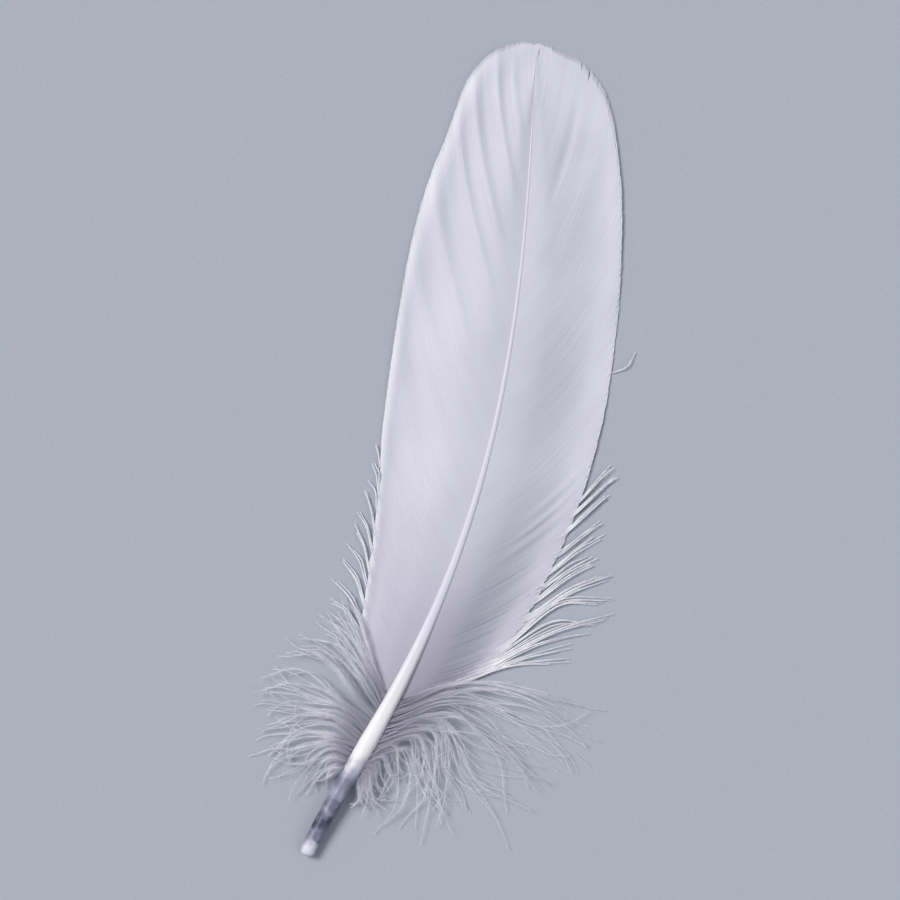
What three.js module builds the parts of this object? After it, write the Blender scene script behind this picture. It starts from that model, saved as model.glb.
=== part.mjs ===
// A goose quill feather lying on a flat surface, its upper side up. Millimetres, +Z up.
//
// It is drawn in the feather's own frame: the blunt end of the quill at the origin, the tip of the vane
// straight ahead on +Y, and +X to the right of the shaft as seen from above. The finished feather is then
// moved so that the middle of its box stands on the origin.

import * as THREE from "three";

const GAP = 0.3; // clear space between two pieces

// ---- Shaft: the bare quill and the rachis, one tapered piece ----

const SHAFT_LENGTH = 171;
const BOW = 14.4; // how far the shaft bows to the right of a straight line between its ends
const BOW_POWERS = [1.32, 1.02]; // at the quill's end, where over 1 keeps it straight, and at the tip
const TIP_LEAN = 2.3; // how far the shaft's tip ends to the right
const TIP_LEAN_POWER = 6; // the higher, the later the lean begins
const ARCH = 3.2; // how far the middle of the shaft stands off the surface
const QUILL_END_WIDTH = 3.2;
const SHAFT_WIDTH = 3.8; // the most, where the down grows
const WIDEST_AT = 26;
const SHAFT_TIP_WIDTH = 0.4;
const RACHIS_TAPER = 1.5; // over 1 thins the rachis early
const SWELLING = 1.5; // the part of the widest place that fades soon behind it
const SWELLING_TAPER = 6;
const SHAFT_FLATNESS = 0.92; // height over width
const QUILL_END_ROUND = 1.3; // length of the rounded end
const SHAFT_STATIONS = 56;
const END_STATIONS = 4;
const FIRST_END_RING = 0.6; // of one station's step, so that the end closes with a small flat
const SHAFT_SIDES = 14;

// ---- Vanes: each row is one barb's root on the shaft (Y) and where its tip lies (X, Y) ----

const RIGHT_VANE = [
  [37, 27.4, 48.4],
  [42, 29.8, 55.0],
  [50, 32.9, 68.0],
  [60, 35.2, 83.5],
  [72, 35.6, 102.0],
  [85, 33.6, 120.5],
  [98, 30.4, 136.5],
  [110, 25.8, 153.0],
  [122, 18.8, 168.0],
  [134, 11.9, 173.8],
  [146, 7.6, 174.8],
  [157, 4.6, 175.2],
  [168, 2.9, 175.4],
];
const LEFT_VANE = [
  [37, -1.8, 49.0],
  [42, -2.7, 57.5],
  [50, -4.7, 71.5],
  [60, -7.9, 88.0],
  [72, -10.7, 108.5],
  [85, -12.6, 127.5],
  [98, -12.6, 141.5],
  [110, -11.4, 153.0],
  [122, -10.4, 164.0],
  [134, -7.5, 170.4],
  [146, -4.2, 173.4],
  [157, -1.4, 174.8],
  [168, 1.7, 175.4],
];
const BARB_CURVE = 0.065; // how far the barbs bend towards the feather's tip, over their length
const VANE_ROOT_HEIGHT = 0.45; // the share of the shaft's height at which the barbs grow
const VANE_THICKNESS = [0.8, 0.5]; // at the shaft and at the margin
const FLAT_FROM = 0.78; // the share of a barb from which the vane lies on the surface
const VANE_STATIONS = 42;
const VANE_STEPS = 7;

// ---- Strands that have come unzipped from the lower right margin ----

const LOOSE_TIPS = [
  [41.9, 52.9],
  [48.3, 65.0],
  [45.5, 74.0],
  [42.4, 86.0],
  [38.4, 98.0],
];
const LOOSE_OFFSET = [0.6, -0.3]; // from the vane's margin
const LOOSE_THICKNESS = [0.9, 0.6];
const LOOSE_STATIONS = 16;
const LOOSE_STEPS = 3;

// ---- Down: rows as for the vanes, from the lowest fibre up ----

const RIGHT_DOWN = [
  [19, 11.6, 10.0],
  [21, 21.0, 8.6],
  [23, 29.5, 8.2],
  [25.5, 38.5, 13.0],
  [28, 46.0, 20.0],
  [30.5, 51.6, 28.5],
  [32.5, 54.0, 36.0],
  [34, 50.5, 40.0],
];
const LEFT_DOWN = [
  [19, -2.6, 9.6],
  [21, -8.6, 9.2],
  [23.5, -14.4, 13.0],
  [26.5, -18.6, 19.5],
  [29.5, -20.4, 27.0],
  [32, -19.4, 34.5],
  [34, -15.5, 40.5],
];
const DOWN_CURVE = -0.19; // below 0 they bend back towards the quill
const DOWN_HEIGHT = [4.2, 0.8]; // at the shaft and at the fibres' tips
const DOWN_STATIONS = 22;
const DOWN_STEPS = 6;

// ---- Colours ----

const BARB_WHITE = { color: 0xe6e4ee, roughness: 0.6, metalness: 0 };
const SHAFT_IVORY = { color: 0xf0eee8, roughness: 0.4, metalness: 0 };
const DOWN_WHITE = { color: 0xdedce6, roughness: 0.9, metalness: 0 };

const { lerp, clamp } = THREE.MathUtils;
const byShare = (range, share) => lerp(range[0], range[1], share);

// ---- The shaft's line, width and height at a distance y from the quill's end ----

function shaftX(y) {
  const along = clamp(y / SHAFT_LENGTH, 0, 1);
  const bow = BOW * Math.pow(4 * along * (1 - along), byShare(BOW_POWERS, along));
  return bow + TIP_LEAN * Math.pow(along, TIP_LEAN_POWER);
}

function shaftWidth(y) {
  if (y < WIDEST_AT) {
    return lerp(QUILL_END_WIDTH, SHAFT_WIDTH, THREE.MathUtils.smoothstep(y, 0, WIDEST_AT));
  }
  const left = clamp((SHAFT_LENGTH - y) / (SHAFT_LENGTH - WIDEST_AT), 0, 1);
  const slender = (SHAFT_WIDTH - SWELLING - SHAFT_TIP_WIDTH) * Math.pow(left, RACHIS_TAPER);
  return SHAFT_TIP_WIDTH + slender + SWELLING * Math.pow(left, SWELLING_TAPER);
}

function shaftFoot(y) {
  return ARCH * Math.sin((Math.PI * clamp(y, 0, SHAFT_LENGTH)) / SHAFT_LENGTH);
}

function shaftFrame(y) {
  const step = 0.5;
  const ahead = new THREE.Vector2(shaftX(y + step) - shaftX(y - step), 2 * step).normalize();
  return { at: new THREE.Vector2(shaftX(y), y), ahead, right: new THREE.Vector2(ahead.y, -ahead.x) };
}

// ---- A closed solid through rings of points ----

// Every ring runs over the top from one side to the other and back underneath, so that a point and its
// partner counted from the ring's other end face each other. The two ends are closed by strips between
// the partners.
function loft(rings) {
  const count = rings[0].length;
  const positions = rings.flat().flatMap((p) => [p.x, p.y, p.z]);
  const faces = [];
  const quad = (a, b, c, d) => faces.push(a, b, c, a, c, d);
  for (let i = 0; i + 1 < rings.length; i++) {
    for (let j = 0; j < count; j++) {
      const next = (j + 1) % count;
      quad(i * count + j, i * count + next, (i + 1) * count + next, (i + 1) * count + j);
    }
  }
  const last = (rings.length - 1) * count;
  for (let j = 0; j + 1 < count / 2; j++) {
    const partner = count - 1 - j;
    quad(j, partner, partner - 1, j + 1);
    quad(last + j, last + j + 1, last + partner - 1, last + partner);
  }
  const geometry = new THREE.BufferGeometry();
  geometry.setAttribute("position", new THREE.Float32BufferAttribute(positions, 3));
  geometry.setIndex(faces);
  return facingOut(geometry);
}

// Turns every face round if the solid is inside out
function facingOut(geometry) {
  const position = geometry.getAttribute("position");
  const index = geometry.getIndex();
  const corner = (i) => new THREE.Vector3().fromBufferAttribute(position, index.getX(i));
  let volume = 0;
  for (let i = 0; i < index.count; i += 3) {
    volume += corner(i).dot(corner(i + 1).cross(corner(i + 2))) / 6;
  }
  if (volume < 0) {
    for (let i = 0; i < index.count; i += 3) {
      const first = index.getX(i);
      index.setX(i, index.getX(i + 1));
      index.setX(i + 1, first);
    }
  }
  geometry.computeVertexNormals();
  return geometry;
}

function shaftRing(y, scale) {
  const { at, right } = shaftFrame(y);
  const width = shaftWidth(y);
  const height = width * SHAFT_FLATNESS;
  const middle = shaftFoot(y) + height / 2;
  const ring = [];
  for (let j = 0; j < SHAFT_SIDES; j++) {
    const angle = (2 * Math.PI * (j + 0.5)) / SHAFT_SIDES;
    const across = (width / 2) * scale * Math.cos(angle);
    const up = (height / 2) * scale * Math.sin(angle);
    ring.push(new THREE.Vector3(at.x + right.x * across, at.y + right.y * across, middle + up));
  }
  return ring;
}

function shaft() {
  const rings = [];
  for (let i = 0; i < END_STATIONS; i++) {
    const angle = (Math.PI / 2) * ((i + FIRST_END_RING) / END_STATIONS);
    rings.push(shaftRing(QUILL_END_ROUND * (1 - Math.cos(angle)), Math.sin(angle)));
  }
  for (let i = 0; i <= SHAFT_STATIONS; i++) {
    rings.push(shaftRing(lerp(QUILL_END_ROUND, SHAFT_LENGTH, i / SHAFT_STATIONS), 1));
  }
  return loft(rings);
}

// ---- Sheets of barbs ----

// The curve of the tips, which carries each barb's root in z
function tipCurve(rows) {
  return new THREE.CatmullRomCurve3(rows.map(([root, x, y]) => new THREE.Vector3(x, y, root)));
}

// The flat line of one barb from its root beside the shaft (side 1 right, -1 left) to its tip
function barbLine(side, root, tip, curve) {
  const { at, right } = shaftFrame(root);
  const start = at.addScaledVector(right, side * (shaftWidth(root) / 2 + GAP));
  const reach = tip.clone().sub(start);
  const bend = new THREE.Vector2(reach.y, -reach.x).multiplyScalar(side * curve);
  const first = start.clone().addScaledVector(reach, 1 / 3).add(bend);
  const second = start.clone().addScaledVector(reach, 2 / 3).add(bend);
  return new THREE.CubicBezierCurve(start, first, second, tip);
}

// One closed ring over a line: along its top from the root out, and back along its underside
function sheetRing(line, shares, topAt, undersideAt) {
  const over = (height) => (share) => {
    const p = line.getPoint(share);
    return new THREE.Vector3(p.x, p.y, height(share));
  };
  return [...shares.map(over(topAt)), ...shares.map(over(undersideAt)).reverse()];
}

function fan({ side, rows, curve, stations, shares, topAt, undersideAt }) {
  const tips = tipCurve(rows);
  const rings = [];
  for (let i = 0; i <= stations; i++) {
    const { x, y, z: root } = tips.getPoint(i / stations);
    const line = barbLine(side, root, new THREE.Vector2(x, y), curve);
    rings.push(sheetRing(line, shares, (t) => topAt(t, root), (t) => undersideAt(t, root)));
  }
  return loft(rings);
}

function evenly(steps, end = 1) {
  return Array.from({ length: steps + 1 }, (_, i) => (end * i) / steps);
}

// The vane's underside comes down from the shaft to the surface and lies flat on it towards the margin.
function vane(side, rows) {
  const undersideAt = (t, root) => {
    const rootHeight = shaftFoot(root) + VANE_ROOT_HEIGHT * SHAFT_FLATNESS * shaftWidth(root);
    return t < FLAT_FROM ? (rootHeight * (1 + Math.cos((Math.PI * t) / FLAT_FROM))) / 2 : 0;
  };
  return fan({
    side,
    rows,
    curve: BARB_CURVE,
    stations: VANE_STATIONS,
    shares: [...evenly(VANE_STEPS, FLAT_FROM), 1],
    topAt: (t, root) => undersideAt(t, root) + byShare(VANE_THICKNESS, t),
    undersideAt,
  });
}

function down(side, rows) {
  return fan({
    side,
    rows,
    curve: DOWN_CURVE,
    stations: DOWN_STATIONS,
    shares: evenly(DOWN_STEPS),
    topAt: (t) => byShare(DOWN_HEIGHT, 1 - Math.cos((Math.PI / 2) * t)),
    undersideAt: () => 0,
  });
}

// The loose strands start just outside the margin that the vane's lowest barbs make.
function looseBarbs() {
  const margin = tipCurve(RIGHT_VANE);
  const marginShare = (LOOSE_TIPS.length - 1) / (RIGHT_VANE.length - 1);
  const tips = new THREE.CatmullRomCurve3(LOOSE_TIPS.map(([x, y]) => new THREE.Vector3(x, y, 0)));
  const rings = [];
  for (let i = 0; i <= LOOSE_STATIONS; i++) {
    const share = i / LOOSE_STATIONS;
    const start = margin.getPoint(share * marginShare);
    const tip = tips.getPoint(share);
    const line = new THREE.LineCurve(
      new THREE.Vector2(start.x + LOOSE_OFFSET[0], start.y + LOOSE_OFFSET[1]),
      new THREE.Vector2(tip.x, tip.y),
    );
    rings.push(sheetRing(line, evenly(LOOSE_STEPS), (t) => byShare(LOOSE_THICKNESS, t), () => 0));
  }
  return loft(rings);
}

function piece(name, geometry, look) {
  const mesh = new THREE.Mesh(geometry, new THREE.MeshStandardMaterial(look));
  mesh.name = name;
  return mesh;
}

const feather = new THREE.Group();
feather.add(
  piece("shaft", shaft(), SHAFT_IVORY),
  piece("left_vane", vane(-1, LEFT_VANE), BARB_WHITE),
  piece("right_vane", vane(1, RIGHT_VANE), BARB_WHITE),
  piece("right_loose_barbs", looseBarbs(), BARB_WHITE),
  piece("left_down", down(-1, LEFT_DOWN), DOWN_WHITE),
  piece("right_down", down(1, RIGHT_DOWN), DOWN_WHITE),
);

const box = new THREE.Box3().setFromObject(feather);
const middle = box.getCenter(new THREE.Vector3());
feather.position.set(-middle.x, -middle.y, -box.min.z);

export default feather;
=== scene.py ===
"""The looks of a white goose quill feather that lies on a pale table, upper side up.

Shapes are drawn in millimetres in the feather's own frame, as in the CAD: the blunt end of the quill at the
origin, the tip of the vane straight ahead on +Y, +X to the right of the shaft as seen from above, +Z up.
A stretch is a pair of places along the shaft, or of shares of a barb's length.
"""

import math

import bpy
import numpy as np
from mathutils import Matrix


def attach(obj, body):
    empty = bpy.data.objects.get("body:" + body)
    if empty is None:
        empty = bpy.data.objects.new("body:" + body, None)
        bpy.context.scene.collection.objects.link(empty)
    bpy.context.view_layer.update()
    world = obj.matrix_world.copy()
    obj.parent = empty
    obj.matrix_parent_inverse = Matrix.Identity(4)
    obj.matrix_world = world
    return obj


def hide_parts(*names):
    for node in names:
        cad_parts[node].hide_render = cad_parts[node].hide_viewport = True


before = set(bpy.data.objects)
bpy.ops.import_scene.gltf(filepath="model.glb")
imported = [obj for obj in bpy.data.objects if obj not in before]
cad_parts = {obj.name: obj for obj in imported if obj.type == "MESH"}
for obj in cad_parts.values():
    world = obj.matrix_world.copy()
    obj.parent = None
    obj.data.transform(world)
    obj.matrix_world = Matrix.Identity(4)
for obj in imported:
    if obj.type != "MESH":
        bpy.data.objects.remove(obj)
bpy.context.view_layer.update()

MM = 0.001
ORIGIN = np.array([-16.76, -87.71, 0.0])  # where the quill's end stands in the frame

# ---- Shaft, as in the CAD ----

SHAFT_LENGTH = 171
BOW = 14.4
BOW_POWERS = (1.32, 1.02)
TIP_LEAN = 2.3
TIP_LEAN_POWER = 6
ARCH = 3.2
QUILL_END_WIDTH = 3.2
SHAFT_WIDTH = 3.8
WIDEST_AT = 26
SHAFT_TIP_WIDTH = 0.4
RACHIS_TAPER = 1.5
SWELLING = 1.5
SWELLING_TAPER = 6
SHAFT_FLATNESS = 0.92

# ---- Shaft, in finer detail ----

SHAFT_STATIONS = 260
SHAFT_SIDES = 56
# Rings that close the quill's end, a shallow dimple first: distance along, share of the width
QUILL_END = [
    (0.42, 0.03), (0.34, 0.14), (0.14, 0.25), (0.02, 0.37), (0.02, 0.52), (0.12, 0.68), (0.34, 0.83),
    (0.68, 0.94), (1.1, 0.99),
]
AFTER_END = 0.5  # from the last of those rings to the next
RACHIS_SQUARENESS = 2.5  # power of the section's outline; 2 is an ellipse
SQUARING = (WIDEST_AT - 4, WIDEST_AT + 10)  # where the round quill turns into that section
# Hollows under the shaft: widths over its half width, depths over its half height
GROOVE_WIDTH = 0.42
GROOVE_DEPTH = 0.34
GROOVE_START = (27, 45)
GROOVE_END = (140, 165)
PIT_AT = 25.5
PIT_LENGTH = 0.9
PIT_WIDTH = 0.3
PIT_DEPTH = 0.3
UNEVENNESS = 0.008  # of the shaft's width
QUILL_UNEVENNESS = 0.006  # as much again, but on the bare quill only
THREAD_LENGTH = 3.2  # the rachis goes on as a thread between the last barbs
THREAD_WIDTH = 0.2  # at its end, over the shaft's width there
THREAD_LIFT = 0.16
THREAD_LIFT_OVER = 8  # the length of shaft over which it rises by that
SLIMMING = (152, 173)  # where the rachis gets as thin as that thread

# ---- Vanes, as in the CAD: a barb's root on the shaft (Y) and where its tip lies (X, Y) ----

RIGHT_VANE = [
    (37, 27.4, 48.4), (42, 29.8, 55.0), (50, 32.9, 68.0), (60, 35.2, 83.5), (72, 35.6, 102.0),
    (85, 33.6, 120.5), (98, 30.4, 136.5), (110, 25.8, 153.0), (122, 18.8, 168.0), (134, 11.9, 173.8),
    (146, 7.6, 174.8), (157, 4.6, 175.2), (168, 2.9, 175.4),
]
LEFT_VANE = [
    (37, -1.8, 49.0), (42, -2.7, 57.5), (50, -4.7, 71.5), (60, -7.9, 88.0), (72, -10.7, 108.5),
    (85, -12.6, 127.5), (98, -12.6, 141.5), (110, -11.4, 153.0), (122, -10.4, 164.0), (134, -7.5, 170.4),
    (146, -4.2, 173.4), (157, -1.4, 174.8), (168, 1.7, 175.4),
]
TIP_ROW = (173, 2.3, 175.5)  # the last barbs of both sides meet ahead of the shaft
BARB_CURVE = 0.065
STRAIGHTENING = (150, 168)  # where the barbs lose that curve
VANE_ROOT_HEIGHT = (0.5, 0.76)  # share of the shaft's height at which the lowest and the other barbs grow
ROOTS_CLIMB = (36, 62)
FLAT_FROM = 0.78
VANE_LIFT = 0.42  # of the barbs over the underside of the CAD's vane
VANE_LIFT_OVER = (0, 0.3)
LIFT_LOST_AT_TIP = 0.7  # share of the lift
LIFT_FADES = (145, 166)

# ---- Vanes, in finer detail ----

VANE_BARBS = 290
BARB_STATIONS = 40
STATION_POWER = 0.85  # under 1, so that stations stand closer together towards the margin
LAST_ROOT = 173.2
ROOT_INSET = 0.7  # the barbs start inside the shaft, at this share of its half width
THREAD_INSET = 0.35  # what is left of that beside the thread

BARB_OVERLAP = 0.56  # half width of a barb over the distance to its neighbour
LEAST_HALF_WIDTH = (0.06, 0.09)  # below the tip and at it
LEAST_WIDENS = (163, 169)
MOST_HALF_WIDTH = 0.4
POINTING = 0.7  # share of its width that a barb loses towards its end
POINTS_FROM = (0.985, 0.97)  # below and around the tip
SLENDER_START = (-0.25, 0.10)  # where the barbs around the thread widen
SLENDER_STARTS = (150, 166)
BARB_RIDGE = 0.02
BARB_KEEL = 0.05
RIDGE_WIDTH = 0.12  # half width of a barb with a ridge of that height; others are in proportion
RIDGE_LIMITS = (0.3, 1.2)
BARB_STEP = 0.004  # how unlike the heights of neighbours are

MARGIN_FROM = 0.95  # the share of a barb from which it turns ahead along the margin
MARGIN_SWEEP = 1.3  # how far
MARGIN_TILT = 0.03
SWEEP_FADES = (102, 132)
SWEEP_RANGE = (0.8, 1.2)
SWEEP_LOST_TO_FRAYING = 0.75
# How far the barbs stick out past the margin: one by one, in a long wave, in groups, and where it is frayed
LENGTH_SPREAD = 0.07
LENGTH_WAVE = 0.05
GROUP = 5
GROUP_SPREAD = (0.05, 0.16)
GROUPS_GROW = (112, 135)
FRAYING = (-0.35, 0.0, 0.6)  # least, most often, most

TIP_SETTLES = (140, 163)  # where the waves of the surface end
SWELL = 0.10
SWELL_OVER = (0.1, 0.6)
UPTURN = 0.22  # of the margin
UPTURN_WAVE = 0.2
UPTURN_OVER = (0.8, 1.0)
UPTURN_AT_BASE = 0.2  # share of it that the frayed lower margin has
UPTURN_GROWS = (58, 85)
LOWEST_BARB = 0.12
TILT_AT_TIP = 0.25
STEEPEST = 1.2
# Soft ripples along the barbs: root, half width (both along the shaft), height, from share, to share
LEFT_RIPPLES = [
    (151, 3.0, 0.22, 0.10, 1.0), (139.5, 2.8, 0.46, 0.10, 1.1), (126, 3.0, 0.64, 0.10, 1.1),
    (116, 2.6, 0.50, 0.12, 1.05), (101, 3.4, 0.62, 0.20, 1.1), (87, 3.6, 0.34, 0.25, 1.1),
    (72, 4.0, 0.22, 0.30, 1.1),
]
RIGHT_RIPPLES = [
    (133, 2.8, -0.25, 0.2, 0.95), (120, 3.5, 0.2, 0.3, 1.1), (62, 0.9, 0.20, 0.25, 0.95),
    (64.6, 0.8, 0.22, 0.30, 0.95), (67.5, 0.9, 0.16, 0.35, 1.0), (52, 1.2, 0.16, 0.4, 1.0),
]
RIPPLE_RISE = 0.3  # shares of a barb over which a ripple rises and falls
RIPPLE_FALL = 0.35
# Places where two barbs have come apart towards the margin: root, share from which, gap
LEFT_SPLITS = [(56, 0.90, 0.5), (141, 0.965, 0.25)]
RIGHT_SPLITS = [(127, 0.95, 0.35), (130.5, 0.92, 0.6), (134.5, 0.94, 0.5), (138, 0.96, 0.3), (91, 0.97, 0.2)]
SPLIT_REACH = 2.2  # how far along the shaft the neighbours give way
SPLIT_END = 1.05

# ---- Strands that have come unzipped from the lower margins: start, middle, tip, barbs ----

RIGHT_LOOSE_STRANDS = [
    ((18.0, 41.0), (30.5, 49.0), (41.9, 53.2), 4),
    ((22.0, 43.6), (32.5, 51.2), (42.3, 56.7), 3),
    ((24.6, 46.0), (34.5, 54.8), (44.5, 60.2), 4),
    ((26.5, 48.5), (37.4, 58.5), (48.3, 64.9), 5),
    ((27.5, 50.5), (36.8, 60.2), (46.6, 62.4), 3),
    ((28.6, 53.0), (37.2, 64.4), (47.8, 68.0), 5),
    ((30.4, 57.0), (37.8, 66.4), (46.1, 72.5), 3),
    ((31.6, 60.0), (38.0, 67.6), (45.0, 72.9), 5),
    ((32.4, 64.0), (37.3, 70.6), (42.5, 75.1), 4),
    ((33.0, 67.0), (37.2, 72.4), (41.4, 76.4), 3),
    ((33.6, 70.5), (37.6, 76.0), (41.7, 80.9), 4),
    ((34.3, 74.5), (37.7, 79.0), (40.7, 82.6), 3),
    ((34.6, 79.5), (38.0, 84.8), (41.0, 89.3), 4),
    ((35.2, 83.5), (38.7, 89.3), (41.7, 93.5), 4),
    ((35.6, 86.5), (38.0, 91.3), (40.3, 95.0), 3),
    ((35.4, 113.8), (37.4, 115.4), (38.6, 119.2), 1),
]
LEFT_LOOSE_STRANDS = [
    ((-1.6, 47.6), (-5.2, 51.0), (-9.8, 52.6), 4),
    ((-1.8, 50.2), (-5.4, 54.2), (-9.9, 56.8), 3),
    ((-2.2, 53.6), (-5.2, 58.0), (-9.2, 61.4), 3),
    ((-2.6, 57.4), (-5.6, 62.0), (-9.6, 65.0), 2),
    ((-3.0, 60.6), (-5.4, 65.0), (-8.4, 68.8), 3),
    ((-3.6, 64.8), (-5.9, 69.0), (-9.0, 72.2), 2),
    ((-4.2, 69.0), (-6.0, 73.0), (-8.2, 76.4), 2),
    ((-4.9, 73.0), (-6.4, 76.4), (-8.3, 79.0), 1),
    ((-5.6, 77.0), (-6.8, 80.2), (-8.5, 82.8), 2),
    ((-6.6, 82.0), (-7.7, 84.8), (-8.8, 86.6), 1),
]
LOOSE_STATIONS = 26
LOOSE_HALF_WIDTH = 0.11
LOOSE_RIDGE = 0.45  # heights above and below the middle, over the half width
LOOSE_KEEL = 0.4
LOOSE_TAPER = 0.75  # share of its width that a barb loses towards its tip
LOOSE_TAPERS_OVER = (0.45, 1.0)
LOOSE_SLENDER_START = (-0.05, 0.25)
SURFACE_BLUR = 0.4  # how near the points of the vane are whose height a strand takes on
# How far apart the outermost barbs of a strand are, outward and along: hidden start, margin, middle, tip
START_SPREAD = (0.4, 2.2)
MARGIN_SPREAD = (0.4, 2.0)
MIDDLE_SPREAD = (-0.4, 0.85)
TIP_SPREAD = (-0.8, 1.0)
MIDDLE_JITTER = 0.14
TIP_JITTER = 0.2
TIP_SHIFT = (-0.36, 0.02)  # how much longer a barb is, over its outer half
PAIRING = 0.4  # how far each of two neighbours' tips leans to the other, over the distance between them
HIDDEN_LENGTH = (3.5, 8.5)  # of the starts, inside the margin
HIDDEN_LENGTH_ALONE = 1.4  # of a strand's only barb
HIDDEN_WAY = (1.15, 0.85)  # turns the starts towards the way of the vane's barbs
MARGIN_AT = 0.3  # share of a strand at which it leaves the vane
SUNK = -0.12  # the strands start below the vane's surface and lie on it at the margin
RAISED = 0.08
LOOSE_HEIGHT = 0.3
LOOSE_DESCENT = (0.12, 0.7)  # from the margin's height to that, in shares of the part outside
LOOSE_ARCH = 0.35
LOOSE_TIP_RISE = (0, 0.6)

# ---- Down: root on the shaft, a near and a far point that the fibres run through, and their tip ----

RIGHT_DOWN = [
    (19.5, (7.0, 17.4), (6.9, 14.6), (6.4, 11.5)),
    (21.0, (8.5, 20.6), (9.4, 15.9), (11.9, 10.2)),
    (22.5, (10.4, 24.4), (12.4, 19.5), (15.2, 11.0)),
    (24.0, (13.2, 28.0), (16.3, 21.3), (21.9, 9.6)),
    (25.2, (15.6, 29.8), (18.8, 22.9), (24.6, 11.0)),
    (26.3, (17.5, 31.0), (21.6, 23.0), (28.7, 8.3)),
    (27.4, (19.4, 31.6), (25.5, 23.2), (34.5, 13.5)),
    (28.5, (20.5, 33.2), (29.0, 25.0), (42.5, 16.6)),
    (29.6, (20.8, 35.0), (33.5, 31.0), (44.4, 20.0)),
    (30.6, (21.1, 36.9), (37.2, 31.2), (49.9, 26.0)),
    (31.6, (21.8, 39.0), (39.5, 36.2), (51.6, 31.0)),
    (32.7, (20.8, 40.4), (38.6, 40.6), (53.0, 37.0)),
    (33.8, (20.2, 41.6), (35.8, 43.4), (53.6, 40.4)),
    (35.2, (18.8, 41.6), (34.0, 44.4), (50.5, 42.6)),
    (36.6, (17.2, 40.8), (27.0, 44.2), (38.5, 45.2)),
]
LEFT_DOWN = [
    (19.5, (1.4, 18.5), (-0.8, 14.8), (-2.2, 10.8)),
    (21.5, (-0.2, 22.0), (-5.0, 17.4), (-8.2, 10.6)),
    (23.5, (-1.4, 25.0), (-8.5, 20.6), (-13.8, 13.8)),
    (25.5, (-2.0, 28.0), (-10.5, 25.0), (-17.8, 19.0)),
    (27.5, (-2.2, 31.0), (-11.5, 30.4), (-19.8, 26.5)),
    (30.0, (-1.8, 34.4), (-11.0, 36.2), (-18.8, 34.0)),
    (32.6, (-0.5, 38.2), (-8.5, 41.4), (-15.8, 40.4)),
    (34.8, (1.2, 40.6), (-5.0, 45.8), (-11.5, 48.0)),
    (36.8, (2.6, 43.0), (-1.8, 50.2), (-6.2, 56.0)),
]
# Single barbs that cross the others
RIGHT_STRAYS = [
    (30.0, (20.4, 33.6), (29.0, 28.9), (44.4, 35.4)),
    (30.8, (21.4, 35.6), (34.0, 29.4), (44.2, 26.8)),
    (29.0, (19.6, 33.0), (26.6, 26.9), (41.6, 15.8)),
    (31.4, (22.0, 37.2), (33.2, 31.0), (39.8, 21.0)),
    (26.6, (17.0, 30.2), (20.0, 17.6), (13.4, 13.0)),
    (24.2, (13.6, 26.6), (17.6, 15.6), (10.6, 11.8)),
    (33.0, (21.2, 40.2), (31.0, 39.0), (46.0, 30.6)),
]
DOWN_STATIONS = 26
DOWN_HALF_WIDTH = 0.07
DOWN_TAPER = (1.3, 0.8)  # of that at the root, and what is lost of it towards the tip
DOWN_INSET = 0.8  # the fibres start inside the shaft, at this share of its half width
# How the barbs gather, in shares of the fan from the first row to the last
BARB_JITTER = 0.4  # over the distance between two barbs
CLUMP_JITTER = 0.35  # over the distance between two clumps
CLUMP_PULL = (0.3, 1.0)  # how far a barb is drawn to the middle of its clump
PULL_OVER = (0.15, 0.7)
PULL_LOST = 0.5  # share of the pull that the tips give up
PULL_FADES = (0.75, 1.1)
ASTRAY = 0.035
ASTRAY_OVER = (0.3, 1.1)
CLUMP_REACH = (0.9, 1.08)  # lengths over the fan's
BARB_REACH = (0.66, 1.0, 1.0)  # least, most often, most
# How they bend: waves along a barb and typical turns in radians
SLOW_WAVES = (0.7, 1.5)
SLOW_BEND = 0.17
LEAN = 0.09
LEAN_OVER = (0, 0.4)
QUICK_WAVES = (2.2, 4.2)
QUICK_BEND = 0.13
QUICK_OVER = (0, 0.3)
CURL = (0.8, 0.22)  # near the bare quill and farther up
CURL_FADES = (21, 30)
CURL_OVER = (0.5, 1.0)
CURL_POWER = 1.5
BENDING = (1, 0.3)  # what is left of all that near the vane
BENDING_FADES = (31, 36)
# Heights: of the roots over the shaft's height, of the tips, and how far the middles rise above both
DOWN_ROOT_HEIGHT = (0.3, 0.7)
DOWN_TIP_HEIGHT = (0.3, 1.8)
DOWN_DESCENT_POWER = 0.8
DOWN_BULGE = (0.0, 1.8)
DOWN_BULGE_POWER = 0.7
LOWEST_DOWN = 0.1

# ---- Barbules: where they grow, and length, angle to the barb and rise; pairs are for its root and tip ----

LOOSE_BARBULES = {
    "span": (0.41, 0.99), "length": (0.95, 0.42), "width": 0.018, "angle": (0.55, 0.3), "rise": 0.07,
}
DOWN_BARBULES = {
    "span": (0.03, 0.99), "length": (1.8, 0.5), "width": 0.015, "angle": (0.95, 0.3), "rise": 0.25,
}
LOOSE_BARBULES_EACH = 480
BARBULES_GROW_OVER = (-0.05, 0.18)  # from the start of their span
ANGLE_SPREAD = 0.35
ANGLE_LIMITS = (0.15, 2.0)
LENGTH_RANGE = (0.5, 1.2)
LOWEST_BARBULE = 0.04


def smoothstep(value, low, high):
    share = np.clip((value - low) / (high - low), 0, 1)
    return share * share * (3 - 2 * share)


def lerp(low, high, share):
    return low + (high - low) * share


# ---- The shaft's line, width and height at a distance y from the quill's end ----


def shaft_x(y):
    along = np.clip(y / SHAFT_LENGTH, 0, 1)
    return BOW * (4 * along * (1 - along)) ** lerp(*BOW_POWERS, along) + TIP_LEAN * along**TIP_LEAN_POWER


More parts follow.
